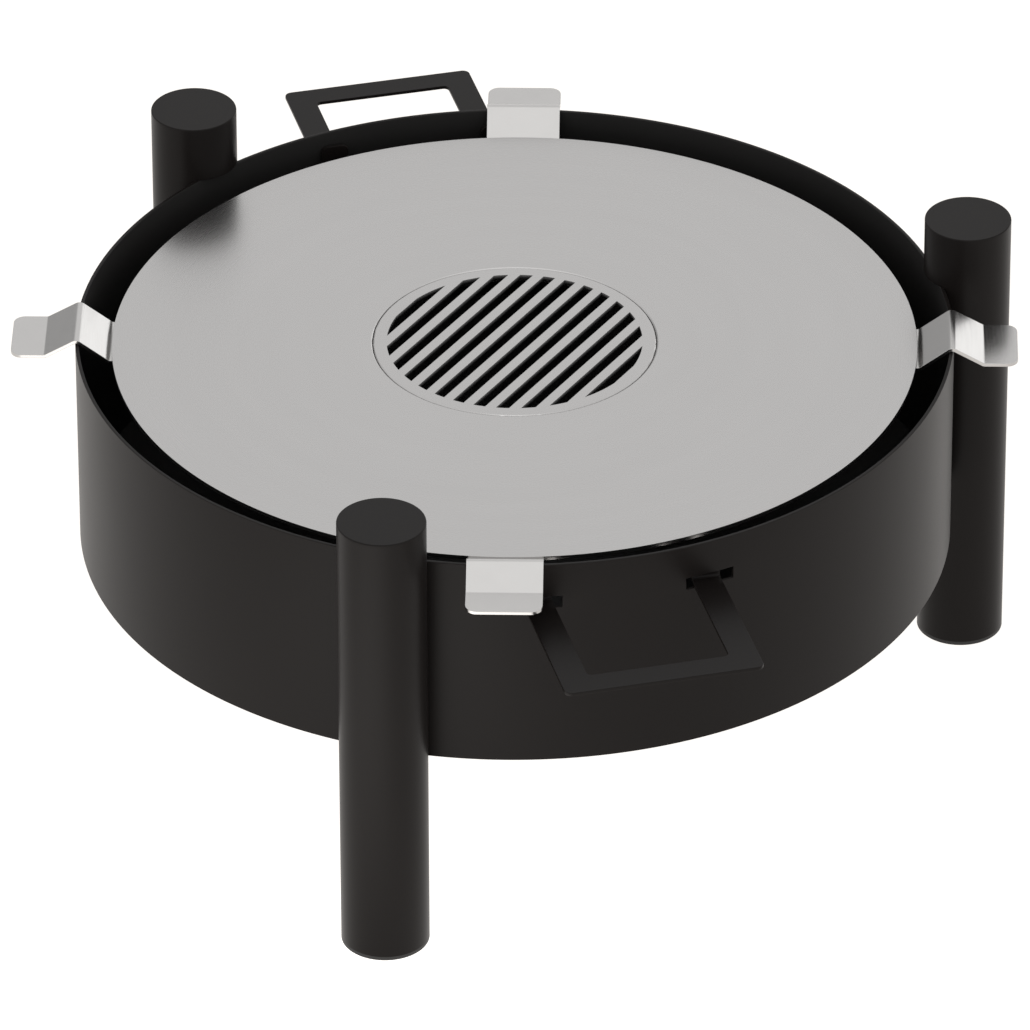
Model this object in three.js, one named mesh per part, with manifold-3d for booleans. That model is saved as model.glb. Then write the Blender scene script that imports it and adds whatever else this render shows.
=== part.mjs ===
// Round griddle fire bowl: a rolled black steel bowl on three tube legs, with two hooked sheet
// handles and a lift-off steel griddle plate that hangs on the rim by four bent straps.
// Millimetres, +Z up. The origin is on the ground, on the bowl's axis. The straps lie along X and Y.

import * as THREE from "three";
import { mergeVertices } from "three/addons/utils/BufferGeometryUtils.js";
import Module from "manifold-3d";

const wasm = await Module();
wasm.setup();

// ---------------------------------------------------------------- driving dimensions

const SEAT_GAP = 0.3;          // left between pieces that touch or are welded

const BOWL_RADIUS = 300;       // outside of the rolled wall
const BOWL_DEPTH = 153.8;      // height of the wall
const BOWL_CLEARANCE = 135.4;  // ground to the bottom of the bowl
const BOWL_SHEET = 2.5;
const DRAIN_RADIUS = 6;        // rain drain in the middle of the floor

const LEG_COUNT = 3;
const LEG_TURN = 15.4;         // degrees from +X to the first leg
const LEG_RADIUS = 29.8;
const LEG_WALL = 2;
const LEG_BITE = 8.5;          // how far the notched tube reaches over the bowl's outline
const LEG_RISE = 40.8;         // leg top above the rim
const CAP_FLANGE = 3;          // thickness of the end caps' discs
const CAP_SPIGOT = 10;         // depth of the part of a cap inside the tube
const CAP_WALL = 3;


const HANDLE_SHEET = 2.5;
const HANDLE_WIDTH = 135;
const HANDLE_ARM = 19.5;       // width of each arm
const HANDLE_BAR = 18.6;       // width of the cross bar
const HANDLE_REACH = 104;      // from the bowl's wall to the outer edge
const HANDLE_CORNER = 5;
const HANDLE_INNER_CORNER = 3.5;
const HANDLE_BEND = 3.5;       // middle-line radius where the hooks turn up
const HOOK_RISE = 21;          // hook above the arm's top face
const HOOK_CORNER = 5;
const SLOT_LENGTH = 34;        // slots in the wall for the arms
const SLOT_HEIGHT = 8.6;
const SLOT_DROP = 24.7;        // rim to the top edge of the slots
const SLOT_SHIFT = 1.75;       // slots lie this much further apart than the arms

const AIR_GAP = 22.3;          // round the griddle plate, inside the wall
const GRIDDLE_SHEET = 3;
const GRIDDLE_DROP = 8.8;      // rim to the cooking surface
const STRAP_COUNT = 4;
const STRAP_SHEET = 2.5;
const STRAP_WIDTH = 51.2;
const STRAP_TAIL = 40;         // under the plate
const STRAP_BEND = 4;          // middle-line radius of the bends
const STRAP_FOOT = 20;         // wall's outside to the foot of the outer slope
const STRAP_REACH = 43.5;      // wall's outside to the end of the lip
const LIP_DROP = 8;            // rim to the top face of the lip
const LIP_CORNER = 8;

const INSERT_RADIUS = 97;
const INSERT_SHEET = 3;
const INSERT_CLEARANCE = 0.4;  // round the insert, in the plate
const INSERT_TURN = 60.4;      // degrees from +X to the grate's bars
const GRATE_BORDER = 9.5;      // unslotted edge of the insert
const GRATE_PITCH = 15;
const GRATE_SLOT = 8;
const SEAT_RING_SHEET = 2.5;
const SEAT_RING_LAP = 8;       // under the plate, beyond the insert
const SEAT_RING_REVEAL = 1.5;  // ring stands back from the slots by this much

const BOWL_SEGMENTS = 120;
const GRATE_SEGMENTS = 72;
const TUBE_SEGMENTS = 36;
const HOLE_SEGMENTS = 16;
const BEND_STEPS = 4;

// ---------------------------------------------------------------- derived places

const rimZ = BOWL_CLEARANCE + BOWL_DEPTH;
const bowlInside = BOWL_RADIUS - BOWL_SHEET;
const legTop = rimZ + LEG_RISE;
const legInside = LEG_RADIUS - LEG_WALL;
const legCentre = BOWL_RADIUS + LEG_RADIUS - LEG_BITE;
const handleTurn = LEG_TURN - 90;
const slotTop = rimZ - SLOT_DROP;
const slotBottom = slotTop - SLOT_HEIGHT;
const slotCentre = (HANDLE_WIDTH - HANDLE_ARM) / 2 + SLOT_SHIFT;
const griddleRadius = bowlInside - AIR_GAP;
const griddleTop = rimZ - GRIDDLE_DROP;
const griddleBottom = griddleTop - GRIDDLE_SHEET;
const grateRadius = INSERT_RADIUS - GRATE_BORDER;

// ---------------------------------------------------------------- materials

const steel = (color, roughness, metalness) => () =>
  new THREE.MeshStandardMaterial({ color, roughness, metalness });
const blackCoat = steel(0x1d1b1a, 0.5, 0.3);
const stainless = steel(0xb8b6b4, 0.35, 1);
const blackPlastic = steel(0x161616, 0.7, 0);

// ---------------------------------------------------------------- solids

function toSolid(geometry) {
  const bare = geometry.clone();
  bare.deleteAttribute("normal");
  bare.deleteAttribute("uv");
  const merged = mergeVertices(bare);
  return new wasm.Manifold(new wasm.Mesh({
    numProp: 3,
    vertProperties: new Float32Array(merged.attributes.position.array),
    triVerts: new Uint32Array(merged.index.array),
  }));
}

function toGeometry(solid) {
  const mesh = solid.getMesh();
  const geometry = new THREE.BufferGeometry();
  geometry.setAttribute("position", new THREE.BufferAttribute(mesh.vertProperties, 3));
  geometry.setIndex(new THREE.BufferAttribute(mesh.triVerts, 1));
  geometry.computeVertexNormals();
  return geometry;
}

function ring(outer, inner, bottom, top, segments) {
  const shape = new THREE.Shape().absarc(0, 0, outer, 0, 2 * Math.PI);
  if (inner > 0) shape.holes.push(new THREE.Path().absarc(0, 0, inner, 0, 2 * Math.PI, true));
  const options = { depth: top - bottom, bevelEnabled: false, curveSegments: segments / 2 };
  return toSolid(new THREE.ExtrudeGeometry(shape, options).translate(0, 0, bottom));
}

const disc = (radius, bottom, top, segments) => ring(radius, 0, bottom, top, segments);

// A round bar along X, from one x to another, at height z.
function barAlongX(radius, from, to, z, segments) {
  const geometry = new THREE.CylinderGeometry(radius, radius, to - from, segments);
  return toSolid(geometry.rotateZ(Math.PI / 2).translate((from + to) / 2, 0, z));
}

function box(from, to) {
  const size = to.map((value, axis) => value - from[axis]);
  const middle = to.map((value, axis) => (value + from[axis]) / 2);
  return toSolid(new THREE.BoxGeometry(...size).translate(...middle));
}

// An outline through corner points [x, y, radius], each corner rounded to its radius.
function roundedShape(corners) {
  const shape = new THREE.Shape();
  corners.forEach(([x, y, radius], index) => {
    const corner = new THREE.Vector2(x, y);
    const before = new THREE.Vector2(...corners.at(index - 1));
    const after = new THREE.Vector2(...corners[(index + 1) % corners.length]);
    const inward = before.sub(corner).normalize();
    const outward = after.sub(corner).normalize();
    const reach = radius / Math.tan(Math.acos(inward.dot(outward)) / 2);
    const start = corner.clone().addScaledVector(inward, reach);
    const end = corner.clone().addScaledVector(outward, reach);
    if (index === 0) shape.moveTo(start.x, start.y);
    else shape.lineTo(start.x, start.y);
    if (radius === 0) return;
    const turn = Math.sign(outward.cross(inward));
    const centre = start.clone().add(new THREE.Vector2(inward.y, -inward.x).multiplyScalar(turn * radius));
    const from = Math.atan2(start.y - centre.y, start.x - centre.x);
    const to = Math.atan2(end.y - centre.y, end.x - centre.x);
    shape.absarc(centre.x, centre.y, radius, from, to, turn < 0);
  });
  shape.closePath();
  return shape;
}

function plate(shape, bottom, top) {
  const options = { depth: top - bottom, bevelEnabled: false, curveSegments: 6 };
  return toSolid(new THREE.ExtrudeGeometry(shape, options).translate(0, 0, bottom));
}

// A bent strip: its middle line runs through [x, z] corners, and it is as wide as it is told along Y.
function bentStrip(corners, sheet, bendRadius, fromY, toY) {
  const points = corners.map(([x, z]) => new THREE.Vector2(x, z));
  const upper = [];
  const lower = [];
  const mark = (point, along) => {
    const normal = new THREE.Vector2(-along.y, along.x);
    upper.push(point.clone().addScaledVector(normal, sheet / 2));
    lower.unshift(point.clone().addScaledVector(normal, -sheet / 2));
  };
  const direction = (index) => points[index + 1].clone().sub(points[index]).normalize();
  mark(points[0], direction(0));
  for (let index = 1; index < points.length - 1; index += 1) {
    const along = direction(index - 1);
    const turn = Math.atan2(along.cross(direction(index)), along.dot(direction(index)));
    const reach = bendRadius * Math.tan(Math.abs(turn) / 2);
    const start = points[index].clone().addScaledVector(along, -reach);
    const side = new THREE.Vector2(-along.y, along.x).multiplyScalar(Math.sign(turn) * bendRadius);
    const centre = start.clone().add(side);
    for (let step = 0; step <= BEND_STEPS; step += 1) {
      const swing = turn * step / BEND_STEPS;
      mark(start.clone().rotateAround(centre, swing), along.clone().rotateAround(new THREE.Vector2(), swing));
    }
  }
  mark(points.at(-1), direction(points.length - 2));
  const options = { depth: toY - fromY, bevelEnabled: false };
  const geometry = new THREE.ExtrudeGeometry(new THREE.Shape([...upper, ...lower]), options);
  return toSolid(geometry.rotateX(Math.PI / 2).translate(0, toY, 0));
}

const grill = new THREE.Group();

function add(parent, name, solid, material) {
  const mesh = new THREE.Mesh(toGeometry(solid), material());
  mesh.name = name;
  parent.add(mesh);
  return mesh;
}

// A group turned about the bowl's axis. What it holds is modelled out along +X.
function turned(degrees) {
  const group = new THREE.Group();
  group.rotation.z = THREE.MathUtils.degToRad(degrees);
  grill.add(group);
  return group;
}

// ---------------------------------------------------------------- bowl

const legTurns = Array.from({ length: LEG_COUNT }, (_, index) => LEG_TURN + index * 360 / LEG_COUNT);
const handleTurns = [handleTurn, handleTurn + 180];

function bowlWall() {
  let wall = ring(BOWL_RADIUS, bowlInside, BOWL_CLEARANCE, rimZ, BOWL_SEGMENTS);
  for (const turn of handleTurns) {
    for (const side of [-1, 1]) {
      const middle = side * slotCentre;
      const from = [bowlInside * 0.9, middle - SLOT_LENGTH / 2, slotBottom];
      const to = [BOWL_RADIUS * 1.1, middle + SLOT_LENGTH / 2, slotTop];
      wall = wall.subtract(box(from, to).rotate([0, 0, turn]));
    }
  }
  return wall;
}

add(grill, "bowl_wall", bowlWall(), blackCoat);
const floorTop = BOWL_CLEARANCE + BOWL_SHEET;
const floor = ring(bowlInside - SEAT_GAP, DRAIN_RADIUS, BOWL_CLEARANCE, floorTop, BOWL_SEGMENTS);
add(grill, "bowl_floor", floor, blackCoat);

// ---------------------------------------------------------------- legs

// A tube notched over the depth of the bowl, so that it sits round the wall.
function legTube() {
  const tube = ring(LEG_RADIUS, legInside, CAP_FLANGE + SEAT_GAP, legTop - CAP_FLANGE - SEAT_GAP, TUBE_SEGMENTS)
    .translate([legCentre, 0, 0]);
  const notch = disc(BOWL_RADIUS + SEAT_GAP, BOWL_CLEARANCE - SEAT_GAP, rimZ + SEAT_GAP, BOWL_SEGMENTS);
  return tube.subtract(notch);
}

// An end cap: a disc with a hollow spigot that fits inside the tube. side is 1 where it faces up.
function legCap(side) {
  const outerFace = side > 0 ? legTop : 0;
  const seat = outerFace - side * CAP_FLANGE;
  const tip = seat - side * CAP_SPIGOT;
  const span = (a, b) => [Math.min(a, b), Math.max(a, b)];
  const spigotRadius = legInside - SEAT_GAP;
  const flange = disc(LEG_RADIUS, ...span(outerFace, seat), TUBE_SEGMENTS);
  const middleOfFlange = (outerFace + seat) / 2;
  const spigot = ring(spigotRadius, spigotRadius - CAP_WALL, ...span(middleOfFlange, tip), TUBE_SEGMENTS);
  return flange.add(spigot).translate([legCentre, 0, 0]);
}

const legNames = ["right", "left", "front"];
legTurns.forEach((turn, index) => {
  const leg = turned(turn);
  const name = legNames[index] ?? `${index + 1}`;
  add(leg, `leg_tube_${name}`, legTube(), blackCoat);
  add(leg, `leg_cap_${name}`, legCap(1), blackCoat);
  add(leg, `leg_foot_${name}`, legCap(-1), blackPlastic);
});

// ---------------------------------------------------------------- handles

// A flat sheet frame whose two arms pass through the wall's slots and turn up behind it as hooks.
function handle() {
  const half = HANDLE_WIDTH / 2;
  const armInside = half - HANDLE_ARM;
  const outerEdge = BOWL_RADIUS + HANDLE_REACH;
  const barInside = outerEdge - HANDLE_BAR;
  const bottom = slotBottom + SEAT_GAP;
  const top = bottom + HANDLE_SHEET;
  const hookFace = Math.sqrt(bowlInside ** 2 - half ** 2) - SEAT_GAP;
  const middleX = hookFace - HANDLE_SHEET / 2;
  const middleZ = (bottom + top) / 2;
  const armStart = middleX + HANDLE_BEND;
  const frame = roundedShape([
    [armStart, -half, 0],
    [outerEdge, -half, HANDLE_CORNER],
    [outerEdge, half, HANDLE_CORNER],
    [armStart, half, 0],
    [armStart, armInside, 0],
    [barInside, armInside, HANDLE_INNER_CORNER],
    [barInside, -armInside, HANDLE_INNER_CORNER],
    [armStart, -armInside, 0],
  ]);
  let body = plate(frame, bottom, top);
  const hookTop = top + HOOK_RISE;
  for (const side of [-1, 1]) {
    const [fromY, toY] = side > 0 ? [armInside, half] : [-half, -armInside];
    const line = [[armStart + HANDLE_SHEET, middleZ], [middleX, middleZ], [middleX, hookTop]];
    const strip = bentStrip(line, HANDLE_SHEET, HANDLE_BEND, fromY, toY);
    const outline = roundedShape([
      [fromY, bottom - 1, 0],
      [toY, bottom - 1, 0],
      [toY, hookTop, HOOK_CORNER],
      [fromY, hookTop, HOOK_CORNER],
    ]);
    const trim = plate(outline, middleX - 2 * HANDLE_SHEET, armStart + 2 * HANDLE_SHEET);
    body = body.add(strip.intersect(trim.rotate([90, 0, 90])));
  }
  return body;
}

add(turned(handleTurns[0]), "handle_front", handle(), blackCoat);
add(turned(handleTurns[1]), "handle_rear", handle(), blackCoat);

// ---------------------------------------------------------------- griddle

const holeRadius = INSERT_RADIUS + INSERT_CLEARANCE;
const griddle = disc(griddleRadius, griddleBottom, griddleTop, BOWL_SEGMENTS)
  .subtract(disc(holeRadius, griddleBottom - 1, griddleTop + 1, GRATE_SEGMENTS));
add(grill, "griddle_plate", griddle, stainless);

const ringTop = griddleBottom - SEAT_GAP;
const seatRing = ring(
  INSERT_RADIUS + SEAT_RING_LAP, grateRadius + SEAT_RING_REVEAL, ringTop - SEAT_RING_SHEET, ringTop, GRATE_SEGMENTS);
add(grill, "insert_seat_ring", seatRing, stainless);

// A strap welded under the plate: up over the rim, down outside it, and out to a rounded lip.
function hangerStrap() {
  const half = STRAP_SHEET / 2;
  const side = STRAP_WIDTH / 2;
  const tailZ = griddleBottom - SEAT_GAP - half;
  const lipZ = rimZ - LIP_DROP - half;
  const tailEnd = griddleRadius - STRAP_TAIL;
  const lipEnd = BOWL_RADIUS + STRAP_REACH;
  const start = [griddleRadius + half, tailZ];
  const foot = [BOWL_RADIUS + STRAP_FOOT, lipZ];
  // Under the strap's width the curved wall spans a little more than its own thickness.
  const wallNear = Math.sqrt(bowlInside ** 2 - side ** 2);
  const crownX = (wallNear + BOWL_RADIUS) / 2;
  const halfSpan = BOWL_RADIUS - crownX;
  const roughCrown = rimZ + STRAP_SHEET;
  const lean = Math.max(
    Math.atan2(roughCrown - tailZ, crownX - start[0]), Math.atan2(roughCrown - lipZ, foot[0] - crownX));
  const innerBend = STRAP_BEND - half;
  const cornerRise = 1 / Math.cos(lean) - 1;
  const sag = halfSpan > innerBend * Math.sin(lean)
    ? halfSpan * Math.tan(lean) - innerBend * cornerRise
    : innerBend - Math.sqrt(innerBend ** 2 - halfSpan ** 2);
  const crown = [crownX, rimZ + SEAT_GAP + sag + half + STRAP_BEND * cornerRise];
  const line = [[tailEnd, tailZ], start, crown, foot, [lipEnd, lipZ]];
  const strip = bentStrip(line, STRAP_SHEET, STRAP_BEND, -side, side);
  const outline = roundedShape([
    [tailEnd - 1, -side, 0],
    [lipEnd, -side, LIP_CORNER],
    [lipEnd, side, LIP_CORNER],
    [tailEnd - 1, side, 0],
  ]);
  return strip.intersect(plate(outline, 0, legTop));
}

const strapNames = ["right", "rear", "left", "front"];
for (let index = 0; index < STRAP_COUNT; index += 1) {
  const name = strapNames[index] ?? `${index + 1}`;
  add(turned(index * 360 / STRAP_COUNT), `hanger_strap_${name}`, hangerStrap(), stainless);
}

// ---------------------------------------------------------------- grate insert

// A round plate with parallel slots cut inside a plain border. A bar lies on its middle line.
function grateInsert() {
  const bottom = ringTop + SEAT_GAP;
  const top = bottom + INSERT_SHEET;
  const field = disc(grateRadius, bottom - 1, top + 1, GRATE_SEGMENTS);
  const slotsEachSide = Math.floor((grateRadius - GRATE_SLOT / 2) / GRATE_PITCH + 0.5);
  let insert = disc(INSERT_RADIUS, bottom, top, GRATE_SEGMENTS);
  for (let index = -slotsEachSide; index < slotsEachSide; index += 1) {
    const middle = (index + 0.5) * GRATE_PITCH;
    const from = [-INSERT_RADIUS, middle - GRATE_SLOT / 2, bottom - 1];
    const slot = box(from, [INSERT_RADIUS, middle + GRATE_SLOT / 2, top + 1]);
    insert = insert.subtract(field.intersect(slot));
  }
  return insert;
}

add(turned(INSERT_TURN), "grate_insert", grateInsert(), stainless);

export default grill;
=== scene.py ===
"""Looks of a round griddle fire bowl on three tube legs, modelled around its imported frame.

Metres, +Z up. The origin is on the ground, on the bowl's axis. The straps lie along X and Y.
"""

import math

import bmesh
import bpy
from bpy.props import FloatProperty, FloatVectorProperty, IntProperty, PointerProperty
from mathutils import Matrix, Vector


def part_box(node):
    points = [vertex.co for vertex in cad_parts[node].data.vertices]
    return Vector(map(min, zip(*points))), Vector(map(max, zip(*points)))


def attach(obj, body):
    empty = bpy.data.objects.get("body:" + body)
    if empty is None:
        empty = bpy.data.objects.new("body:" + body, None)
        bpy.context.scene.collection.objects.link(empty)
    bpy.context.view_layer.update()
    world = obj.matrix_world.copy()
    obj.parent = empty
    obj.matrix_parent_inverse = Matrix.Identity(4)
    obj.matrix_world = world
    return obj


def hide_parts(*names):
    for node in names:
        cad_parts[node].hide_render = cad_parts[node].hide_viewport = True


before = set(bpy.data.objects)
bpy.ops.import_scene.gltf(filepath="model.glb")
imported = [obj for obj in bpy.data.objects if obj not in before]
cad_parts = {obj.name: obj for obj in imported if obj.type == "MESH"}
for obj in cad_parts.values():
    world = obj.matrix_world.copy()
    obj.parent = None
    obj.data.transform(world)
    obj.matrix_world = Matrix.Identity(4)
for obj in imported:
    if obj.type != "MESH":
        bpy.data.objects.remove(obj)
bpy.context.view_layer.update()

bl_info = {
    "name": "Griddle Fire Bowl",
    "version": (1, 0, 0),
    "blender": (4, 5, 0),
    "location": "View3D > Sidebar > Fire Bowl",
    "description": "Models a black steel fire bowl with a hanging griddle plate",
    "category": "Add Mesh",
}

ROUND_FACES = 240
TUBE_FACES = 96
BEND_FACES = 6
SMOOTH_ANGLE = math.radians(30)
SHARP_ANGLE = math.radians(40)
FIT = 0.001        # a piece and its CAD node's box agree this closely
NEAR = 1e-5        # counts as the same place
SEAM = 0.0003      # left between pieces that touch
CUT_SPAN = 0.02    # faces this near a cut are split by it
FAR_FACE = 0.9     # share of a sheet's thickness beyond which a face is on its far side

wall_low, wall_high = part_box("bowl_wall")
floor_low, floor_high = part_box("bowl_floor")
plate_low, plate_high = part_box("griddle_plate")
ring_low, ring_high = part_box("insert_seat_ring")
insert_low, insert_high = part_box("grate_insert")
cap_low, cap_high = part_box("leg_cap_right")
lip_low, lip_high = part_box("hanger_strap_right")
handle_low, handle_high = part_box("handle_front")


# ---------------------------------------------------------------- sizes and colours


def length(name, description, default):
    return FloatProperty(name=name, description=description, default=default, min=0, precision=5, unit="LENGTH")


def turn(name, description, degrees):
    return FloatProperty(name=name, description=description, default=math.radians(degrees), subtype="ANGLE")


def ratio(name, description, default):
    return FloatProperty(name=name, description=description, default=default, min=0, max=1, subtype="FACTOR")


def strength(name, description, default):
    return FloatProperty(name=name, description=description, default=default, min=0)


def colour(name, description, default):
    return FloatVectorProperty(
        name=name, description=description, default=default, size=3, min=0, max=1, subtype="COLOR")


def place(name, description, default):
    return FloatVectorProperty(name=name, description=description, default=default, size=3, subtype="TRANSLATION")


class BowlSizes(bpy.types.PropertyGroup):
    radius: length("Radius", "Outside of the rolled wall", wall_high.x)
    bottom: length("Bottom", "Ground to the underside", wall_low.z)
    rim: length("Rim", "Ground to the rim", wall_high.z)
    sheet: length("Sheet", "Thickness of the wall and floor", floor_high.z - floor_low.z)
    edge: length("Edge", "Rounding of the cut edges", 0.0005)
    drain: length("Drain", "Radius of the drain hole", 0.006)
    slot_length: length("Slot length", "Handle slots, along the wall", 0.034)
    slot_height: length("Slot height", "Handle slots, up the wall", 0.0086)
    slot_drop: length("Slot drop", "Rim to the top of the slots", 0.0247)
    slot_middle: length("Slot middle", "Handle's middle line to the middle of a slot", 0.0595)


class LegSizes(bpy.types.PropertyGroup):
    count: IntProperty(name="Count", description="Number of legs", default=3, min=3, max=3)
    turn: turn("Turn", "Direction of the first leg", 15.4)
    radius: length("Radius", "Outside of the tubes", 0.0298)
    wall: length("Wall", "Thickness of the tubes", 0.002)
    centre: length("Centre", "Bowl's axis to a leg's axis", 0.3213)
    top: length("Top", "Ground to the top of the caps", cap_high.z)
    flange: length("Cap thickness", "Discs that close the tubes", 0.003)
    edge: length("Cap edge", "Rounding of the caps' edges", 0.0008)
    spigot: length("Spigot", "Length of a cap inside its tube", 0.010)
    spigot_wall: length("Spigot wall", "Thickness of the spigots", 0.003)


class HandleSizes(bpy.types.PropertyGroup):
    turn: turn("Turn", "Direction of the front handle", -74.6)
    sheet: length("Sheet", "Thickness", 0.0025)
    width: length("Width", "Over both arms", 0.135)
    arm: length("Arm", "Width of each arm", 0.0195)
    bar: length("Bar", "Width of the cross bar", 0.0186)
    reach: length("Reach", "Bowl's wall to the outer edge", 0.104)
    height: length("Height", "Ground to the underside", handle_low.z)
    corner: length("Corner", "Rounding of the outer corners", 0.005)
    inner_corner: length("Inner corner", "Rounding inside the arms", 0.0035)
    bend: length("Bend", "Middle-line radius of the hooks' bends", 0.0035)
    hook_top: length("Hook top", "Ground to the top of the hooks", handle_high.z)
    hook_corner: length("Hook corner", "Rounding of the hooks' corners", 0.005)
    edge: length("Edge", "Rounding of the cut edges", 0.0004)


class GriddleSizes(bpy.types.PropertyGroup):
    radius: length("Radius", "Outside of the plate", plate_high.x)
    top: length("Top", "Ground to the cooking surface", plate_high.z)
    sheet: length("Sheet", "Thickness of the plate", plate_high.z - plate_low.z)
    hole: length("Hole", "Radius of the hole for the insert", 0.0971)
    edge: length("Edge", "Rounding of the cut edges", 0.00025)
    hole_edge: length("Hole edge", "Rounding round the hole for the insert", 0.0014)
    ring_radius: length("Ring radius", "Outside of the seat ring", ring_high.x)
    ring_hole: length("Ring hole", "Inside of the seat ring", 0.089)
    ring_top: length("Ring top", "Ground to the top of the seat ring", ring_high.z)
    ring_sheet: length("Ring sheet", "Thickness of the seat ring", ring_high.z - ring_low.z)


class StrapSizes(bpy.types.PropertyGroup):
    count: IntProperty(name="Count", description="Number of straps", default=4, min=4, max=4)
    sheet: length("Sheet", "Thickness", 0.0025)
    width: length("Width", "Across the strap", lip_high.y - lip_low.y)
    inner_end: length("Inner end", "Bowl's axis to the end under the plate", lip_low.x)
    tail_start: length("Tail start", "Length of the tail before it is carried on", 0.01)
    outer_end: length("Outer end", "Bowl's axis to the end of the lip", lip_high.x)
    foot: length("Foot", "Wall's outside to the foot of the outer slope", 0.020)
    bend: length("Bend", "Middle-line radius of the bends", 0.004)
    lip_drop: length("Lip drop", "Rim to the top of the lip", 0.008)
    corner: length("Corner", "Rounding of the lip's corners", 0.008)
    gap: length("Gap", "Left under the ridge and under the plate", 0.0003)
    edge: length("Edge", "Rounding of the cut edges", 0.0004)


class InsertSizes(bpy.types.PropertyGroup):
    radius: length("Radius", "Outside of the insert", 0.097)
    top: length("Top", "Ground to the top face", insert_high.z)
    sheet: length("Sheet", "Thickness", insert_high.z - insert_low.z)
    turn: turn("Turn", "Direction of the bars", 60.4)
    border: length("Border", "Edge without slots", 0.0095)
    pitch: length("Pitch", "From slot to slot", 0.015)
    slot: length("Slot", "Width of a slot", 0.008)
    edge: length("Edge", "Rounding of the rim", 0.0015)
    slot_edge: length("Slot edge", "Rounding of the slots' edges", 0.00025)


class Finishes(bpy.types.PropertyGroup):
    coat: colour("Coat", "Black heat-proof coat", (0.0070, 0.0058, 0.0054))
    coat_roughness: ratio("Coat roughness", "How dull the coat is", 0.37)
    inside: colour("Inside coat", "Duller black inside the bowl", (0.013, 0.0124, 0.012))
    griddle: colour("Griddle steel", "Stainless steel of the plate and insert", (0.438, 0.430, 0.425))
    griddle_roughness: ratio("Griddle roughness", "How dull the plate is", 0.27)
    strap: colour("Strap steel", "Stainless steel of the straps", (0.476, 0.467, 0.458))
    strap_roughness: ratio("Strap roughness", "How dull the straps are", 0.22)
    # Painted shade: the dark colour the slots' walls fade to towards their lower edge.
    painted_slot_shade: colour("Slot shade", "What the slots' walls fade to downwards", (0.012, 0.012, 0.012))
    plastic: colour("Plastic", "Black feet", (0.012, 0.012, 0.012))


class StudioSettings(bpy.types.PropertyGroup):
    azimuth: turn("Azimuth", "Camera's direction round the grill", 1.31)
    elevation: turn("Elevation", "Camera's height above the horizon", 32.254)
    roll: turn("Roll", "Camera's turn about its own axis", -0.168)
    distance: length("Distance", "Camera to the point it looks at", 7.7798)
    lens: FloatProperty(
        name="Lens", description="Focal length in mm", default=394.2, min=1, subtype="DISTANCE_CAMERA")
    target: place("Target", "Point the camera looks at", (-0.0001, 0.0, 0.1397))
    floor_radius: length("Floor radius", "Half the floor's side", 12.0)
    floor_tint: colour("Floor tint", "Warmth of the light from the floor", (1.0, 0.965, 0.93))
    floor_glow: strength("Floor glow", "Light the pale floor gives of its own", 1.04)
    pool: place("Pool", "Middle of the extra light on the floor", (-0.26, -0.74, 0.0))
    pool_radius: length("Pool radius", "Where the extra light is down to half", 0.31)
    pool_glow: strength("Pool glow", "Extra light from the floor at the front left", 2.1)
    sky: strength("Sky", "Light from all round", 1.06)
    corner: ratio("Dark corner", "How much of the sky's light is left at the rear left", 0.5)
    corner_way: place("Corner direction", "Where the dark corner of the sky lies", (-0.48, 0.85, 0.23))
    corner_core: turn("Corner core", "Angle from its middle that is fully dark", 11)
    corner_reach: turn("Corner reach", "Angle from its middle where it ends", 25)
    overhead: strength("Overhead light", "Power of the softbox over the grill, in watts", 9.0)
    rear_right: strength("Rear light", "Power of the softbox at the rear right, in watts", 12.0)
    front: strength("Front light", "Power of the softbox high in front, in watts", 5.0)


GROUPS = {
    "bowl_sizes": BowlSizes,
    "leg_sizes": LegSizes,
    "handle_sizes": HandleSizes,
    "griddle_sizes": GriddleSizes,
    "strap_sizes": StrapSizes,
    "insert_sizes": InsertSizes,
    "finishes": Finishes,
    "studio": StudioSettings,
}


# ---------------------------------------------------------------- finishes


class Value:
    """A number socket that can be used in arithmetic."""

    def __init__(self, finish, socket):
        self.finish = finish
        self.socket = socket

    def maths(self, operation, *values):
        return self.finish.node("ShaderNodeMath", {"operation": operation}, dict(enumerate(values)))

    def __add__(self, other):
        return self.maths("ADD", self, other)

    def __sub__(self, other):
        return self.maths("SUBTRACT", self, other)

    def __rsub__(self, other):
        return self.maths("SUBTRACT", other, self)

    def __mul__(self, other):
        return self.maths("MULTIPLY", self, other)

    def __truediv__(self, other):
        return self.maths("DIVIDE", self, other)

    def __rtruediv__(self, other):
        return self.maths("DIVIDE", other, self)

    def __pow__(self, other):
        return self.maths("POWER", self, other)

    __radd__ = __add__
    __rmul__ = __mul__


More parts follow.
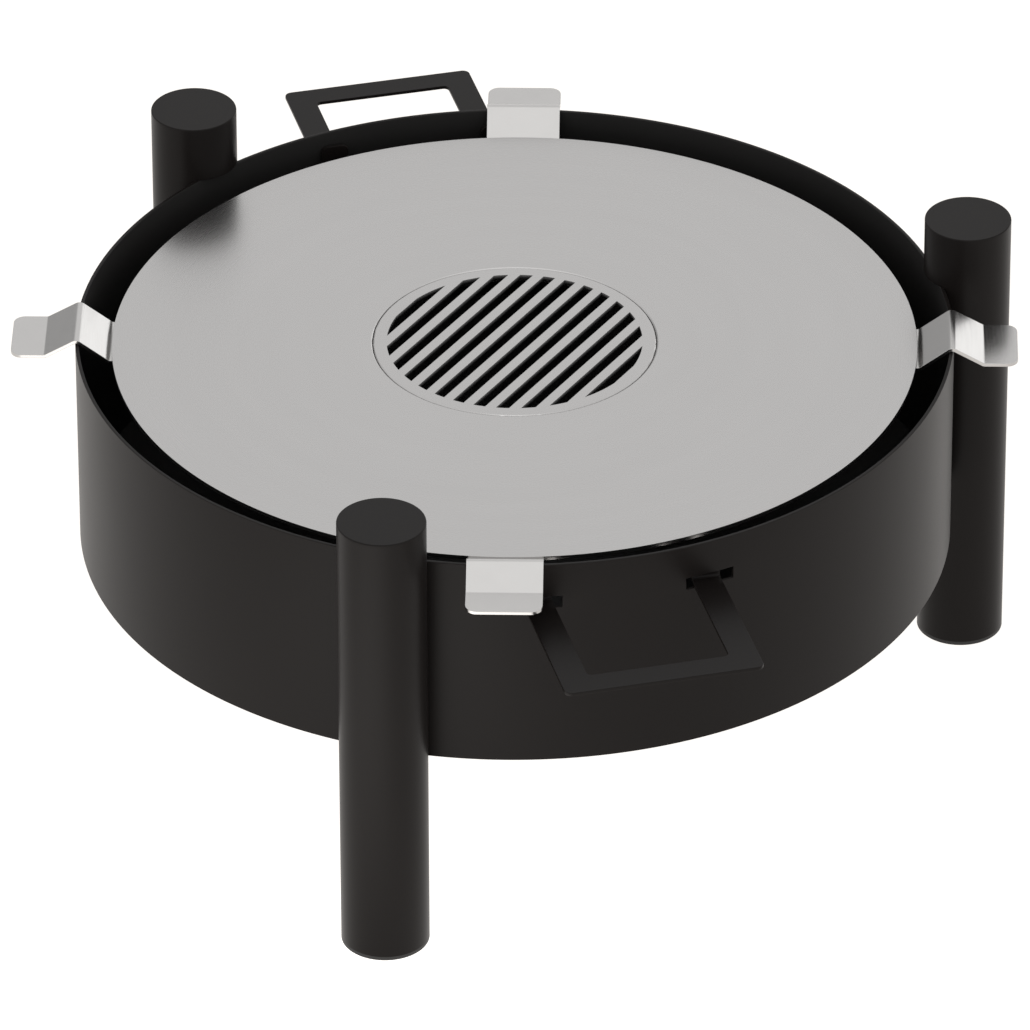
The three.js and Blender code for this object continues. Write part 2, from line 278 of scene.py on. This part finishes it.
class Finish:
    """The nodes of a material or a world, written as expressions."""

    def __init__(self, owner, shader, **fixed):
        owner.use_nodes = True
        self.material = owner
        self.nodes = owner.node_tree.nodes
        self.links = owner.node_tree.links
        self.shader = next(node for node in self.nodes if node.type == shader)
        for socket, value in fixed.items():
            self.set(self.shader, socket.replace("_", " "), value)

    def set(self, node, socket, value):
        target = node.inputs[socket]
        if isinstance(value, Value):
            self.links.new(value.socket, target)
        elif target.type == "RGBA":
            target.default_value = (*value, 1)
        else:
            target.default_value = value

    def node(self, kind, settings, sockets, output=0):
        """Any node: its type, its settings, and the values or links of its sockets."""
        made = self.nodes.new(kind)
        for setting, value in settings.items():
            setattr(made, setting, value)
        for socket, value in sockets.items():
            self.set(made, socket, value)
        return Value(self, made.outputs[output])

    def position(self):
        """The point on the piece, and its x, y and z."""
        point = self.node("ShaderNodeTexCoord", {}, {}, "Object")
        parts = self.node("ShaderNodeSeparateXYZ", {}, {"Vector": point})
        outputs = parts.socket.node.outputs
        return point, *(Value(self, outputs[axis]) for axis in "XYZ")

    def vector(self, x, y, z):
        return self.node("ShaderNodeCombineXYZ", {}, {"X": x, "Y": y, "Z": z})

    def noise(self, vector, scale, detail):
        return self.node("ShaderNodeTexNoise", {}, {"Vector": vector, "Scale": scale, "Detail": detail}, "Fac")

    def blend(self, factor, first, second):
        """A colour between two colours."""
        mix = self.node("ShaderNodeMix", {"data_type": "RGBA"}, {}, 2)
        node = mix.socket.node
        for socket, value in ((0, factor), (6, first), (7, second)):
            self.set(node, socket, value)
        return mix

    def bump(self, height, depth, amount):
        sockets = {"Height": height, "Distance": depth, "Strength": amount}
        self.set(self.shader, "Normal", self.node("ShaderNodeBump", {}, sockets))

    def radial(self):
        """Distance from the bowl's axis, and the direction as a cosine and a sine."""
        _, x, y, z = self.position()
        reach = (x ** 2 + y ** 2) ** 0.5
        return reach, x / reach, y / reach, z


def surface(name, **fixed):
    return Finish(bpy.data.materials.new(name), "BSDF_PRINCIPLED", **fixed)


def shades(base, spread):
    """A darker and a lighter colour on each side of one."""
    return [tuple(part * (1 + side * spread) for part in base) for side in (-1, 1)]


def sway(noise, amount):
    """A noise from 0 to 1, made to vary by equal amounts on both sides of 0."""
    return (noise - 0.5) * amount


def black_coat(name, base, roughness, specular):
    """Sprayed heat-proof coat: a very fine dry grain and faint cloudiness."""
    finish = surface(name, Specular_IOR_Level=specular)
    point, _, _, _ = finish.position()
    cloud = finish.noise(point, scale=9, detail=3)
    grain = finish.noise(point, scale=1400, detail=2)
    finish.set(finish.shader, "Base Color", finish.blend(cloud, *shades(base, spread=0.12)))
    finish.set(finish.shader, "Roughness", roughness + sway(cloud, 0.06) + sway(grain, 0.05))
    finish.bump(grain, depth=0.00006, amount=0.25)
    return finish.material


def spun_steel(name, base, roughness):
    """Stainless steel brushed in circles round the bowl's axis, with a few soft smears."""
    finish = surface(name, Metallic=1.0)
    reach, cosine, sine, height = finish.radial()
    grooves = finish.noise(finish.vector(cosine * 5, sine * 5, reach * 2600 + height * 900), scale=1, detail=2)
    wide = finish.noise(finish.vector(cosine * 1.5, sine * 1.5, reach * 60), scale=1, detail=2)
    finish.set(finish.shader, "Base Color", finish.blend(wide, *shades(base, spread=0.02)))
    finish.set(finish.shader, "Roughness", roughness + sway(grooves, 0.06) + sway(wide, 0.03))
    finish.bump(grooves, depth=0.000001, amount=0.08)
    return finish.material


def drawn_steel(name, base, roughness):
    """Stainless strip brushed across its length."""
    finish = surface(name, Metallic=1.0)
    reach, cosine, sine, height = finish.radial()
    grooves = finish.noise(finish.vector(cosine * 7, sine * 7, reach * 1100 + height * 700), scale=1, detail=3)
    point, _, _, _ = finish.position()
    smear = finish.noise(point, scale=60, detail=2)
    finish.set(finish.shader, "Base Color", finish.blend(smear, *shades(base, spread=0.03)))
    finish.set(finish.shader, "Roughness", roughness + sway(grooves, 0.14) + sway(smear, 0.04))
    finish.bump(grooves, depth=0.000004, amount=0.3)
    return finish.material


def cut_steel(name, base, shade):
    """The dull striped face that a laser leaves in the insert, with painted shade darkening it downwards, as less
    light reaches the lower part of the slots' walls.
    """
    finish = surface(name, Metallic=0.85)
    _, x, y, z = finish.position()
    stripes = finish.noise(finish.vector(x * 2400, y * 2400, 0.0), scale=1, detail=2)
    # Painted shade: the share of steel colour, falling towards the shade colour at the walls' lower edge.
    unshaded = ((z - insert_low.z) / (insert_high.z - insert_low.z)) ** 1.6
    dull = [part * 0.8 for part in base]
    steel = finish.blend(stripes, *shades(dull, spread=0.1))
    finish.set(finish.shader, "Base Color", finish.blend(unshaded, shade, steel))
    finish.set(finish.shader, "Roughness", 0.62 + stripes * 0.16)
    finish.bump(stripes, depth=0.00005, amount=0.3)
    return finish.material


def moulded_plastic(name, base):
    """Black moulded plastic with a fine leathery grain."""
    finish = surface(name, Specular_IOR_Level=0.4)
    point, _, _, _ = finish.position()
    grain = finish.noise(point, scale=2200, detail=2)
    finish.set(finish.shader, "Base Color", finish.blend(grain, *shades(base, spread=0.1)))
    finish.set(finish.shader, "Roughness", 0.52 + grain * 0.12)
    finish.bump(grain, depth=0.00006, amount=0.3)
    return finish.material


def finish_of(kind):
    """The object's finishes, each made once."""
    if kind in bpy.data.materials:
        return bpy.data.materials[kind]
    look = bpy.context.scene.finishes
    makers = {
        "black heat-proof coat": lambda: black_coat(kind, look.coat, look.coat_roughness, 0.1),
        "matt inside coat": lambda: black_coat(kind, look.inside, 0.5, 0.25),
        "spun stainless steel": lambda: spun_steel(kind, look.griddle, look.griddle_roughness),
        "drawn stainless steel": lambda: drawn_steel(kind, look.strap, look.strap_roughness),
        "cut steel edge": lambda: cut_steel(kind, look.griddle, look.painted_slot_shade),
        "black plastic": lambda: moulded_plastic(kind, look.plastic),
    }
    return makers[kind]()


COAT = ("black heat-proof coat", "black_steel")
SPUN = ("spun stainless steel", "griddle_steel")
DRAWN = ("drawn stainless steel", "strap_steel")
PLASTIC = ("black plastic", "foot_plastic")


# ---------------------------------------------------------------- modelling steps


def add_primitive(kind, name, scale=(1, 1, 1), **options):
    """Adds a primitive with nothing else selected, and settles its place into its mesh."""
    bpy.ops.object.select_all(action="DESELECT")
    getattr(bpy.ops.mesh, f"primitive_{kind}_add")(**options)
    piece = bpy.context.object
    piece.name = piece.data.name = name
    piece.scale = scale
    bpy.ops.object.transform_apply(location=True, rotation=True, scale=True)
    return piece


def activate(piece):
    bpy.ops.object.select_all(action="DESELECT")
    piece.select_set(True)
    bpy.context.view_layer.objects.active = piece


def edit(piece):
    activate(piece)
    bpy.ops.object.mode_set(mode="EDIT")
    bpy.ops.mesh.select_mode(type="VERT")


def leave():
    bpy.ops.object.mode_set(mode="OBJECT")


def pick(kind, test):
    """In edit mode, selects only the VERT, EDGE or FACE elements whose middle passes a test."""
    bpy.ops.mesh.select_all(action="DESELECT")
    bpy.ops.mesh.select_mode(type=kind)
    piece = bpy.context.edit_object
    mesh = bmesh.from_edit_mesh(piece.data)
    found = False
    for element in {"VERT": mesh.verts, "EDGE": mesh.edges, "FACE": mesh.faces}[kind]:
        points = [element.co] if kind == "VERT" else [vertex.co for vertex in element.verts]
        if test(sum(points, Vector()) / len(points)):
            element.select_set(True)
            found = True
    if not found:
        raise RuntimeError(f"{piece.name}: nothing found to shape")
    bmesh.update_edit_mesh(piece.data)


def reach_of(point):
    return math.hypot(point.x, point.y)


def extrude(step):
    bpy.ops.mesh.extrude_region_move(TRANSFORM_OT_translate={"value": step})


def spread(ratio_out, height):
    """Extrudes the selected edges outwards from the bowl's axis."""
    bpy.ops.mesh.extrude_region_move()
    bpy.ops.transform.resize(value=(ratio_out, ratio_out, 1), center_override=(0, 0, height))


def bisect(point, normal):
    bpy.ops.mesh.bisect(plane_co=point, plane_no=normal, use_fill=False, threshold=1e-6)


def round_edges(test, radius, segments):
    """Rounds the edges whose middle passes a test."""
    pick("EDGE", test)
    bpy.ops.mesh.bevel(offset=radius, offset_type="OFFSET", segments=segments, affect="EDGES", clamp_overlap=False)


def modify(piece, kind, **settings):
    """Adds a modifier, sets it and applies it."""
    activate(piece)
    bpy.ops.object.modifier_add(type=kind)
    modifier = piece.modifiers[-1]
    for name, value in settings.items():
        setattr(modifier, name, value)
    bpy.ops.object.modifier_apply(modifier=modifier.name)


def thicken(piece, sheet, offset):
    """Gives a sheet its thickness: offset -1 fills behind its faces, 0 both sides, 1 in front."""
    modify(piece, "SOLIDIFY", thickness=sheet, offset=offset, use_even_offset=True)


def soften(piece, width):
    """Rounds every sharp edge a little, as a deburred or coated edge is."""
    modify(piece, "BEVEL", width=width, segments=2, limit_method="ANGLE", angle_limit=SHARP_ANGLE,
           use_clamp_overlap=True, harden_normals=False)


def combine(piece, tool, operation):
    """Cuts, keeps or joins a piece with a tool, and removes the tool."""
    modify(piece, "BOOLEAN", operation=operation, solver="EXACT", object=tool)
    activate(tool)
    bpy.ops.object.delete()
    activate(piece)


def tidy_mesh(piece):
    """Merges doubles and turns the faces outwards."""
    edit(piece)
    bpy.ops.mesh.select_all(action="SELECT")
    bpy.ops.mesh.remove_doubles(threshold=1e-6)
    bpy.ops.mesh.normals_make_consistent(inside=False)
    leave()


def turned_copy(piece, name, angle):
    """A copy with its own mesh, turned about the bowl's axis."""
    activate(piece)
    bpy.ops.object.duplicate()
    copy = bpy.context.object
    copy.name = copy.data.name = name
    copy.rotation_euler.z = angle
    bpy.ops.object.transform_apply(location=True, rotation=True, scale=True)
    return copy


def remove(piece):
    activate(piece)
    bpy.ops.object.delete()


def paint(piece, main, other, test):
    """Gives a piece one finish, and another to the faces whose middle passes a test."""
    for kind in (main, other):
        piece.data.materials.append(finish_of(kind))
    edit(piece)
    pick("FACE", test)
    piece.active_material_index = 1
    bpy.ops.object.material_slot_assign()
    leave()


def complete(piece, body, node, look):
    """Shades a piece, gives it its finish and body, and checks that it fills its CAD node's box."""
    activate(piece)
    bpy.ops.object.shade_smooth_by_angle(angle=SMOOTH_ANGLE)
    modify(piece, "WEIGHTED_NORMAL", keep_sharp=True, weight=100)
    kind, slot = look
    if not piece.data.materials:
        piece.data.materials.append(finish_of(kind))
    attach(piece, body)
    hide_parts(node)
    low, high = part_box(node)
    for axis in range(3):
        values = [corner[axis] for corner in piece.bound_box]
        if abs(min(values) - low[axis]) > FIT or abs(max(values) - high[axis]) > FIT:
            raise RuntimeError(f"{piece.name} spans {min(values)} to {max(values)} on axis {axis}, "
                               f"not {low[axis]} to {high[axis]}")


def flat_ring(name, outer, inner, top, sheet):
    """A flat round sheet with a round hole."""
    ring = add_primitive("circle", name, vertices=ROUND_FACES, radius=inner, fill_type="NOTHING",
                         location=(0, 0, top))
    edit(ring)
    bpy.ops.mesh.select_all(action="SELECT")
    middle = math.sqrt(inner * outer)
    spread(middle / inner, top)
    spread(outer / middle, top)
    bpy.ops.mesh.select_all(action="SELECT")
    bpy.ops.mesh.normals_make_consistent(inside=False)
    leave()
    if ring.data.polygons[0].normal.z < 0:
        edit(ring)
        bpy.ops.mesh.select_all(action="SELECT")
        bpy.ops.mesh.flip_normals()
        leave()
    thicken(ring, sheet, -1)
    return ring


def fold(corners, radius):
    """Carries the selected edges on through [x, z] corners, each bent about an axis along Y."""
    points = [Vector(corner) for corner in corners]
    here = points[0]
    for corner, after in zip(points[1:], points[2:]):
        along = (corner - here).normalized()
        onward = (after - corner).normalized()
        swing = math.atan2(along.x * onward.y - along.y * onward.x, along.dot(onward))
        reach = radius * math.tan(abs(swing) / 2)
        start = corner - along * reach
        centre = start + Vector((-along.y, along.x)) * math.copysign(radius, swing)
        extrude((start.x - here.x, 0, start.y - here.y))
        bpy.ops.mesh.spin(steps=BEND_FACES, angle=swing, center=(centre.x, 0, centre.y), axis=(0, 1, 0))
        here = corner + onward * reach
    extrude((points[-1].x - here.x, 0, points[-1].y - here.y))


# ---------------------------------------------------------------- pieces


class BowlOperator(bpy.types.Operator):
    """Rolled wall with its four handle slots, and the floor with its drain"""

    bl_idname = "mesh.fire_bowl_shell"
    bl_label = "Bowl"

    def execute(self, context):
        size = context.scene.bowl_sizes
        handle = context.scene.handle_sizes
        middle = (size.bottom + size.rim) / 2
        wall = add_primitive("cylinder", "bowl_shell", vertices=ROUND_FACES, radius=size.radius,
                             depth=size.rim - size.bottom, end_fill_type="NOTHING", location=(0, 0, middle))
        self.cut_slots(wall, size, handle.turn)
        thicken(wall, size.sheet, -1)
        soften(wall, size.edge)
        paint(wall, "black heat-proof coat", "matt inside coat",
              lambda point: reach_of(point) < size.radius - size.sheet * FAR_FACE)
        complete(wall, "bowl", "bowl_wall", COAT)

        base = flat_ring("bowl_base", size.radius - size.sheet, size.drain, size.bottom + size.sheet, size.sheet)
        soften(base, size.edge)
        paint(base, "matt inside coat", "black heat-proof coat",
              lambda point: point.z < size.bottom + size.sheet * (1 - FAR_FACE))
        complete(base, "bowl", "bowl_floor", COAT)
        return {"FINISHED"}

    def cut_slots(self, wall, size, turn_to):
        """Opens the two slots of each handle in the wall."""
        top = size.rim - size.slot_drop
        bottom = top - size.slot_height
        edit(wall)
        for height in (bottom, top):
            bpy.ops.mesh.select_all(action="SELECT")
            bisect((0, 0, height), (0, 0, 1))
        for side in (turn_to, turn_to + math.pi):
            out = Vector((math.cos(side), math.sin(side), 0))
            across = Vector((-out.y, out.x, 0))
            for sign in (-1, 1):
                ends = [sign * size.slot_middle + end * size.slot_length / 2 for end in (-1, 1)]
                for end in ends:
                    pick("FACE", lambda point: point.dot(out) > 0 and abs(point.dot(across) - end) < CUT_SPAN)
                    bisect(across * end, across)
                pick("FACE", lambda point: point.dot(out) > 0 and bottom < point.z < top
                     and ends[0] < point.dot(across) < ends[1])
                bpy.ops.mesh.delete(type="FACE")
        leave()


class LegsOperator(bpy.types.Operator):
    """Three tubes notched round the bowl, each with a cap and a foot"""

    bl_idname = "mesh.fire_bowl_legs"
    bl_label = "Legs"

    def execute(self, context):
        size = context.scene.leg_sizes
        bowl = context.scene.bowl_sizes
        tube_top = size.top - size.flange
        tube = add_primitive("cylinder", "leg_tube", vertices=TUBE_FACES, radius=size.radius,
                             depth=tube_top - size.flange, end_fill_type="NOTHING",
                             location=(size.centre, 0, (tube_top + size.flange) / 2))
        thicken(tube, size.wall, -1)
        notch = add_primitive("cylinder", "notch", vertices=ROUND_FACES, radius=bowl.radius,
                              depth=bowl.rim - bowl.bottom, location=(0, 0, (bowl.rim + bowl.bottom) / 2))
        combine(tube, notch, "DIFFERENCE")
        cap = self.cap(size)
        foot = self.cap(size)
        activate(foot)
        foot.rotation_euler.x = math.pi
        foot.location.z = size.top
        bpy.ops.object.transform_apply(location=True, rotation=True, scale=True)
        for index, name in enumerate(("right", "left", "front")):
            angle = size.turn + index * math.tau / size.count
            complete(turned_copy(tube, f"{name}_leg", angle), "bowl", f"leg_tube_{name}", COAT)
            complete(turned_copy(cap, f"{name}_leg_cap", angle), "bowl", f"leg_cap_{name}", COAT)
            complete(turned_copy(foot, f"{name}_leg_foot", angle), "bowl", f"leg_foot_{name}", PLASTIC)
        for pattern in (tube, cap, foot):
            remove(pattern)
        return {"FINISHED"}

    def cap(self, size):
        """A disc with a rounded edge, and a hollow spigot under it."""
        cap = add_primitive("cylinder", "leg_cap", vertices=TUBE_FACES, radius=size.radius, depth=size.flange,
                            location=(size.centre, 0, size.top - size.flange / 2))
        inside = size.radius - size.wall - SEAM
        below = size.top - size.flange
        edit(cap)
        pick("FACE", lambda point: point.z < below + NEAR)
        bpy.ops.mesh.inset(thickness=size.radius - inside, depth=0)
        extrude((0, 0, -size.spigot))
        bpy.ops.mesh.inset(thickness=size.spigot_wall, depth=0)
        extrude((0, 0, size.spigot))
        round_edges(lambda point: point.z > size.top - NEAR, size.edge, 3)
        leave()
        return cap


class HandlesOperator(bpy.types.Operator):
    """Two sheet handles whose arms hook into the wall's slots"""

    bl_idname = "mesh.fire_bowl_handles"
    bl_label = "Handles"

    def execute(self, context):
        size = context.scene.handle_sizes
        bowl = context.scene.bowl_sizes
        half = size.width / 2
        inner = half - size.arm
        outer_edge = bowl.radius + size.reach
        bar_inside = outer_edge - size.bar
        hook_face = math.sqrt((bowl.radius - bowl.sheet) ** 2 - half ** 2) - SEAM
        hook_middle = hook_face - size.sheet / 2
        level = size.height + size.sheet / 2
        handle = add_primitive("plane", "handle", size=1, scale=(size.bar, size.width, 1),
                               location=((bar_inside + outer_edge) / 2, 0, level))
        edit(handle)
        for side in (-inner, inner):
            bpy.ops.mesh.select_all(action="SELECT")
            bisect((0, side, 0), (0, 1, 0))
        pick("EDGE", lambda point: point.x < bar_inside + NEAR and abs(point.y) > inner + NEAR)
        fold([(bar_inside, level), (hook_middle, level), (hook_middle, size.hook_top)], size.bend)
        leave()
        tidy_mesh(handle)
        thicken(handle, size.sheet, 0)
        edit(handle)
        bpy.ops.mesh.select_all(action="SELECT")
        bpy.ops.mesh.dissolve_limited(angle_limit=math.radians(1))
        round_edges(lambda point: point.x > outer_edge - NEAR and abs(point.y) > half - NEAR, size.corner, 6)
        round_edges(lambda point: abs(point.x - bar_inside) < NEAR and abs(abs(point.y) - inner) < NEAR,
                    size.inner_corner, 4)
        round_edges(lambda point: point.z > size.hook_top - NEAR and abs(point.x - hook_middle) < NEAR
                    and min(abs(abs(point.y) - inner), abs(abs(point.y) - half)) < NEAR, size.hook_corner, 6)
        leave()
        soften(handle, size.edge)
        complete(turned_copy(handle, "front_handle_sheet", size.turn), "front_handle", "handle_front", COAT)
        complete(turned_copy(handle, "rear_handle_sheet", size.turn + math.pi), "rear_handle", "handle_rear", COAT)
        remove(handle)
        return {"FINISHED"}


class GriddleOperator(bpy.types.Operator):
    """Round griddle plate and the ring under it that the insert sits on"""

    bl_idname = "mesh.fire_bowl_griddle"
    bl_label = "Griddle plate"

    def execute(self, context):
        size = context.scene.griddle_sizes
        plate = flat_ring("griddle", size.radius, size.hole, size.top, size.sheet)
        edit(plate)
        round_edges(lambda point: point.z > size.top - NEAR and reach_of(point) < size.hole + NEAR, size.hole_edge, 3)
        leave()
        soften(plate, size.edge)
        complete(plate, "griddle", "griddle_plate", SPUN)
        ring = flat_ring("seat_ring", size.ring_radius, size.ring_hole, size.ring_top, size.ring_sheet)
        soften(ring, size.edge)
        complete(ring, "griddle", "insert_seat_ring", SPUN)
        return {"FINISHED"}


class StrapsOperator(bpy.types.Operator):
    """Four bent straps that hang the griddle plate on the rim"""

    bl_idname = "mesh.fire_bowl_straps"
    bl_label = "Hanger straps"

    def execute(self, context):
        size = context.scene.strap_sizes
        bowl = context.scene.bowl_sizes
        griddle = context.scene.griddle_sizes
        side = size.width / 2
        first, *corners = self.line(size, bowl, griddle)
        strap = add_primitive("plane", "strap", size=1, scale=(first[0] - size.inner_end, size.width, 1),
                              location=((first[0] + size.inner_end) / 2, 0, first[1]))
        edit(strap)
        pick("EDGE", lambda point: point.x > first[0] - NEAR)
        fold([first, *corners], size.bend)
        leave()
        tidy_mesh(strap)
        thicken(strap, size.sheet, 0)
        edit(strap)
        bpy.ops.mesh.select_all(action="SELECT")
        bpy.ops.mesh.dissolve_limited(angle_limit=math.radians(1))
        round_edges(lambda point: point.x > size.outer_end - NEAR and abs(point.y) > side - NEAR, size.corner, 8)
        leave()
        soften(strap, size.edge)
        for index, name in enumerate(("right", "rear", "left", "front")):
            copy = turned_copy(strap, f"{name}_strap", index * math.tau / size.count)
            complete(copy, "griddle", f"hanger_strap_{name}", DRAWN)
        remove(strap)
        return {"FINISHED"}

    def line(self, size, bowl, griddle):
        """The strap's middle line as [x, z] corners. Its ridge clears the curved rim by the gap."""
        half = size.sheet / 2
        tail = griddle.top - griddle.sheet - size.gap - half
        lip = bowl.rim - size.lip_drop - half
        start = (griddle.radius + half, tail)
        foot = (bowl.radius + size.foot, lip)
        wall_near = math.sqrt((bowl.radius - bowl.sheet) ** 2 - (size.width / 2) ** 2)
        crown = (wall_near + bowl.radius) / 2
        span = bowl.radius - crown
        rough = bowl.rim + size.sheet
        lean = max(math.atan2(rough - tail, crown - start[0]), math.atan2(rough - lip, foot[0] - crown))
        inner_bend = size.bend - half
        rise = 1 / math.cos(lean) - 1
        if span > inner_bend * math.sin(lean):
            sag = span * math.tan(lean) - inner_bend * rise
        else:
            sag = inner_bend - math.sqrt(inner_bend ** 2 - span ** 2)
        top = (crown, bowl.rim + size.gap + sag + half + size.bend * rise)
        return [(size.inner_end + size.tail_start, tail), start, top, foot, (size.outer_end, lip)]


class InsertOperator(bpy.types.Operator):
    """Slotted round insert in the middle of the plate"""

    bl_idname = "mesh.fire_bowl_insert"
    bl_label = "Grate insert"

    def execute(self, context):
        size = context.scene.insert_sizes
        field = size.radius - size.border
        insert = add_primitive("circle", "insert", vertices=ROUND_FACES, radius=field, fill_type="NGON",
                               location=(0, 0, size.top))
        edit(insert)
        pick("EDGE", lambda point: True)
        spread(size.radius / field, size.top)
        each_side = math.floor((field - size.slot / 2) / size.pitch + 0.5)
        middles = [(index + 0.5) * size.pitch for index in range(-each_side, each_side)]

        def within(point):
            return reach_of(point) < field * 0.999

        for middle in middles:
            for end in (-1, 1):
                pick("FACE", within)
                bisect((0, middle + end * size.slot / 2, size.top), (0, 1, 0))
        pick("FACE", lambda point: within(point) and min(abs(point.y - middle) for middle in middles) < size.slot / 2)
        bpy.ops.mesh.delete(type="FACE")
        leave()
        thicken(insert, size.sheet, -1)
        edit(insert)
        round_edges(lambda point: point.z > size.top - NEAR and reach_of(point) > size.radius * 0.999, size.edge, 3)
        leave()
        soften(insert, size.slot_edge)
        half_way = size.top - size.sheet / 2
        paint(insert, "spun stainless steel", "cut steel edge",
              lambda point: abs(point.z - half_way) < size.sheet * 0.3 and reach_of(point) < size.radius * 0.99)
        complete(turned_copy(insert, "slotted_insert", size.turn), "grate", "grate_insert", SPUN)
        remove(insert)
        return {"FINISHED"}


# ---------------------------------------------------------------- stage


class StageOperator(bpy.types.Operator):
    """Pale floor, soft studio light and the camera"""

    bl_idname = "scene.fire_bowl_stage"
    bl_label = "Stage"

    def execute(self, context):
        studio = context.scene.studio
        self.floor(studio)
        self.sky(context, studio)
        context.scene.view_settings.view_transform = "Standard"

        self.softbox("overhead", spot=(0, -0.3, 3.0), width=3.0, height=3.0, power=studio.overhead)
        self.softbox("rear right", spot=(2.85, 5.2, 1.6), width=2.6, height=2.0, power=studio.rear_right)
        self.softbox("front", spot=(0, -2.2, 3.3), width=1.6, height=1.2, power=studio.front)
        self.camera(context, studio)
        return {"FINISHED"}

    def floor(self, studio):
        """White paper that glows, with a brighter pool at the front left."""
        floor = add_primitive("plane", "floor", size=2 * studio.floor_radius)
        paper = surface("white paper", Base_Color=(0.05, 0.05, 0.05), Roughness=1.0, Specular_IOR_Level=0.0,
                        Emission_Strength=studio.floor_glow + studio.pool_glow)
        _, x, y, _ = paper.position()
        away = ((x - studio.pool[0]) ** 2 + (y - studio.pool[1]) ** 2) ** 0.5
        pool = 1 / (1 + (away / studio.pool_radius) ** 4)
        dim = studio.floor_glow / (studio.floor_glow + studio.pool_glow)
        tint = Vector(studio.floor_tint)
        paper.set(paper.shader, "Emission Color", paper.blend(pool, dim * tint, tint))
        floor.data.materials.append(paper.material)

    def sky(self, context, studio):
        """Even white light from all round, weaker in one corner."""
        context.scene.world = bpy.data.worlds.new("studio")
        sky = Finish(context.scene.world, "BACKGROUND", Strength=studio.sky)
        way = sky.node("ShaderNodeTexCoord", {}, {}, "Generated")
        toward = Vector(studio.corner_way).normalized()
        facing = sky.node("ShaderNodeVectorMath", {"operation": "DOT_PRODUCT"}, {0: way, 1: toward}, "Value")
        limits = {"From Min": math.cos(studio.corner_reach), "From Max": math.cos(studio.corner_core)}
        corner = sky.node("ShaderNodeMapRange", {"interpolation_type": "SMOOTHSTEP"}, {"Value": facing, **limits})
        sky.set(sky.shader, "Color", sky.blend(corner, (1, 1, 1), (studio.corner,) * 3))

    def softbox(self, name, spot, width, height, power):
        """A rectangular area light aimed at the grill, and not seen itself."""
        aim = (Vector((0, 0, 0.25)) - Vector(spot)).to_track_quat("-Z", "Y").to_euler()
        bpy.ops.object.light_add(type="AREA", location=spot, rotation=aim)
        light = bpy.context.object
        light.name = light.data.name = f"{name} softbox"
        light.data.shape = "RECTANGLE"
        light.data.size = width
        light.data.size_y = height
        light.data.energy = power
        light.visible_camera = False

    def camera(self, context, studio):
        azimuth, elevation, roll = studio.azimuth, studio.elevation, studio.roll
        back = Vector((math.sin(azimuth) * math.cos(elevation), -math.cos(azimuth) * math.cos(elevation),
                       math.sin(elevation)))
        right = Vector((math.cos(azimuth), math.sin(azimuth), 0))
        up = back.cross(right)
        across = right * math.cos(roll) + up * math.sin(roll)
        upward = up * math.cos(roll) - right * math.sin(roll)
        turn_of = Matrix((across, upward, back)).transposed().to_euler()
        spot = Vector(studio.target) + back * studio.distance
        bpy.ops.object.camera_add(location=spot, rotation=turn_of)
        camera = bpy.context.object
        camera.data.lens = studio.lens
        camera.data.sensor_width = 36
        camera.data.clip_end = 100
        context.scene.camera = camera


OPERATORS = (
    StageOperator, BowlOperator, LegsOperator, HandlesOperator, GriddleOperator, StrapsOperator, InsertOperator,
)


class FireBowlPanel(bpy.types.Panel):
    """Lists the grill's pieces and their sizes"""

    bl_idname = "VIEW3D_PT_fire_bowl"
    bl_label = "Griddle Fire Bowl"
    bl_space_type = "VIEW_3D"
    bl_region_type = "UI"
    bl_category = "Fire Bowl"

    def draw(self, context):
        column = self.layout.column(align=True)
        for operator in OPERATORS:
            column.operator(operator.bl_idname)
        for name, group in GROUPS.items():
            box = self.layout.box()
            box.label(text=name.replace("_", " ").capitalize())
            for prop in group.__annotations__:
                box.prop(getattr(context.scene, name), prop)


def register():
    for group in GROUPS.values():
        bpy.utils.register_class(group)
    for name, group in GROUPS.items():
        setattr(bpy.types.Scene, name, PointerProperty(type=group))
    for cls in (*OPERATORS, FireBowlPanel):
        bpy.utils.register_class(cls)


def unregister():
    for cls in (FireBowlPanel, *reversed(OPERATORS)):
        bpy.utils.unregister_class(cls)
    for name in GROUPS:
        delattr(bpy.types.Scene, name)
    for group in reversed(GROUPS.values()):
        bpy.utils.unregister_class(group)


def main():
    register()
    for operator in OPERATORS:
        category, name = operator.bl_idname.split(".")
        getattr(getattr(bpy.ops, category), name)()
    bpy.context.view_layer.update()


if __name__ == "__main__":
    main()
